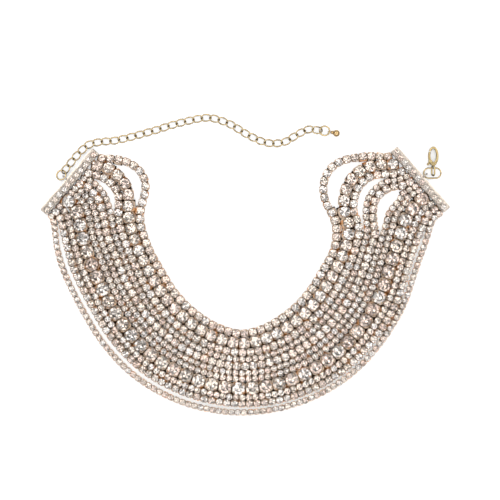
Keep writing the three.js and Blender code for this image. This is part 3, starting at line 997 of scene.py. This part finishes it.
def disc(name, x, y, half_x, half_y, half_z, around=48):
    """An upright oval prism about the middle of the clasp's height."""
    return primitive(
        bpy.ops.mesh.primitive_cylinder_add,
        name,
        vertices=around,
        radius=1,
        depth=2,
        location=(x * MM, y * MM, 0),
        scale=(half_x * MM, half_y * MM, half_z * MM),
    )


def claw_band(name, half_z, rim):
    """The claw's ring with rounded rims, before its side is cut for the lever."""
    made = disc(name, 0, 0, CLAW["half_width"], CLAW["half_length"], half_z)
    mouth = disc("mouth", 0, CLAW["mouth_up"], *CLAW["mouth"], PAST["mouth"])
    with_tool(made, mouth, "DIFFERENCE")
    limit = {"limit_method": "ANGLE", "angle_limit": math.radians(RIM_ANGLE)}
    return shaped(made, "BEVEL", width=rim * MM, segments=RIM_STEPS, **limit)


def evened(thing):
    """Smooth over the roundings, and flat where the metal is flat."""
    smooth(thing, RIM_ANGLE)
    shaped(thing, "WEIGHTED_NORMAL", keep_sharp=True)


def clasp_body():
    half = CLASP["thickness"] / 2
    gap = PIVOT["gap"] / 2
    made = claw_band("clasp_claw", half, CLAW_RIM)
    side = block(
        "side",
        (-PAST["side"], PIVOT["y"] + GATE_FOOT, -PAST["faces"]),
        (GATE_SIDE, LEVER_TOP + CLEARANCE, PAST["faces"]),
    )
    with_tool(made, side, "DIFFERENCE")
    slot = disc("slot", PIVOT["x"], PIVOT["y"], *[PIVOT["boss"] + CLEARANCE] * 2, gap, 32)
    with_tool(made, slot, "DIFFERENCE")
    way = block(
        "way",
        (-PAST["way"], PIVOT["y"] - WAY["low"], -gap),
        (PIVOT["x"] - WAY["in"], PIVOT["y"] + GATE_KEPT, gap),
    )
    with_tool(made, way, "DIFFERENCE")
    evened(made)
    pin_half = half - PIVOT["sunk"]
    pin = disc("pin", PIVOT["x"], PIVOT["y"], PIVOT["pin"], PIVOT["pin"], pin_half, 16)
    smooth(pin)
    stretch = CLASP_EYE["half_length"] - CLASP_EYE["half_width"]
    eye = ring("clasp_eye", CLASP_EYE["half_width"], CLASP_EYE["wire"], stretch)
    turned(eye, ("Z", 90), ("Y", -CLASP_EYE["tilt"]))
    moved(eye, 0, CLASP_EYE["y"])
    made = joined([made, pin, eye], "clasp_claw")
    made.data.transform(at_place(Vector((CLASP["x"], CLASP["y"])), 0, CLASP["height"]))
    finished(made, CLASP_GOLD, ["clasp_body"])


def clasp_lever():
    half = LEVER_THICKNESS / 2
    made = claw_band("clasp_gate", half, LEVER_RIM)
    keep = block(
        "keep",
        (-PAST["side"], PIVOT["y"] + GATE_KEPT, -half * 2),
        (GATE_SIDE, LEVER_TOP, half * 2),
    )
    with_tool(made, keep, "INTERSECT")
    boss = disc("boss", PIVOT["x"], PIVOT["y"], PIVOT["boss"], PIVOT["boss"], half, 24)
    with_tool(made, boss, "UNION")
    tab = block("tab", (*TAB["low"], -half), (*TAB["high"], half))
    turned(tab, ("Z", TAB["angle"]))
    moved(tab, PIVOT["x"] - TAB["left"], PIVOT["y"] - TAB["down"])
    with_tool(made, tab, "UNION")
    bore = PIVOT["pin"] + PIVOT["play"]
    hole = disc("hole", PIVOT["x"], PIVOT["y"], bore, bore, PAST["faces"], 16)
    with_tool(made, hole, "DIFFERENCE")
    evened(made)
    made.data.transform(at_place(Vector((CLASP["x"], CLASP["y"])), 0, CLASP["height"]))
    finished(made, CLASP_GOLD, ["clasp_lever"], "lever")


def clasp_ring():
    stretch = OVAL["half_length"] - OVAL["half_width"]
    made = ring("oval_ring", OVAL["half_width"], OVAL["wire"], stretch)
    made.data.transform(at_place(Vector((OVAL["x"], OVAL["y"])), 0, OVAL["height"]))
    finished(made, WIRE_GOLD, ["clasp_ring"])


clasp_ring()
clasp_body()
clasp_lever()

# ---------- studio ----------

VIEW_WIDTH = 0.230  # across the view, at the top of the strands
LENS = 135
SENSOR = 36
VIEW_MIDDLE = Vector((0.00219, 0.0065, 0.003))

camera_data = bpy.data.cameras.new("camera")
camera_data.lens = LENS
camera_data.sensor_width = SENSOR
camera = bpy.data.objects.new("camera", camera_data)
camera.location = VIEW_MIDDLE + Vector((0, 0, VIEW_WIDTH * LENS / SENSOR))
bpy.context.scene.collection.objects.link(camera)
bpy.context.scene.camera = camera

FLOOR_GLOW = 0.5  # a lit table, so that no shadow shows in the gaps
floor = primitive(bpy.ops.mesh.primitive_plane_add, "floor", size=6, location=(0, 0, -0.00002))
paper, paper_tree, paper_surface = material("studio_floor")
whites = ramp(paper_tree, noise(paper_tree, 30), [(0.3, 0.92), (0.7, 0.94)])
paper_tree.links.new(whites, paper_surface.inputs["Base Color"])
paper_surface.inputs["Roughness"].default_value = 0.9
paper_surface.inputs["Emission Color"].default_value = (1.0, 1.0, 1.0, 1.0)
paper_surface.inputs["Emission Strength"].default_value = FLOOR_GLOW
coat(floor, paper)


def softbox(name, place, size, power):
    lamp = bpy.data.lights.new(name, "AREA")
    lamp.shape = "SQUARE"
    lamp.size = size
    lamp.energy = power
    holder = bpy.data.objects.new(name, lamp)
    holder.location = place
    holder.rotation_euler = (-Vector(place)).to_track_quat("-Z", "Y").to_euler()
    bpy.context.scene.collection.objects.link(holder)


# where it stands, its side, and how bright its face is
for name, place, size, face in (
    ("key", (-0.65, 0.70, 1.2), 0.85, 1.6),
    ("fill", (0.85, 0.35, 1.2), 0.75, 1.4),
    ("low", (0.25, -0.95, 1.2), 0.75, 1.4),
    ("side", (-1.0, -0.35, 1.0), 0.6, 1.3),
):
    softbox(name, place, size, face * math.pi * size**2)

# the room: dim walls, and above them a ceiling of light and dark patches
LOW_SKY = 0.3
HIGH_SKY = 0.5
WALLS = 0.35
PATCHES = [(0.40, 0.05), (0.50, 0.34), (0.60, 2.2)]
WARM = (1.0, 0.97, 0.945, 1.0)
PATCH_SCALE = 5.5
world = bpy.data.worlds.new("studio")
world.use_nodes = True
sky = world.node_tree
sky.nodes.clear()
direction = sky.nodes.new("ShaderNodeTexCoord")
split = sky.nodes.new("ShaderNodeSeparateXYZ")
sky.links.new(direction.outputs["Generated"], split.inputs[0])
height = ramp(sky, split.outputs["Z"], [(LOW_SKY, 0.0), (HIGH_SKY, 1.0)])
patches = sky.nodes.new("ShaderNodeTexNoise")
patches.inputs["Scale"].default_value = PATCH_SCALE
patches.inputs["Detail"].default_value = 1.0
sky.links.new(direction.outputs["Generated"], patches.inputs["Vector"])
above = ramp(sky, patches.outputs[0], PATCHES)
shade = sky.nodes.new("ShaderNodeMix")
shade.data_type = "RGBA"
sky.links.new(height, shade.inputs["Factor"])
shade.inputs[6].default_value = (WALLS, WALLS, WALLS, 1.0)
sky.links.new(above, shade.inputs[7])
warmth = sky.nodes.new("ShaderNodeMix")
warmth.data_type = "RGBA"
warmth.blend_type = "MULTIPLY"
warmth.inputs["Factor"].default_value = 1.0
warmth.inputs[7].default_value = WARM
sky.links.new(shade.outputs[2], warmth.inputs[6])
background = sky.nodes.new("ShaderNodeBackground")
background.inputs["Strength"].default_value = 1.0
sky.links.new(warmth.outputs[2], background.inputs["Color"])
sky_output = sky.nodes.new("ShaderNodeOutputWorld")
sky.links.new(background.outputs[0], sky_output.inputs["Surface"])
bpy.context.scene.world = world
bpy.context.scene.view_settings.view_transform = "Standard"
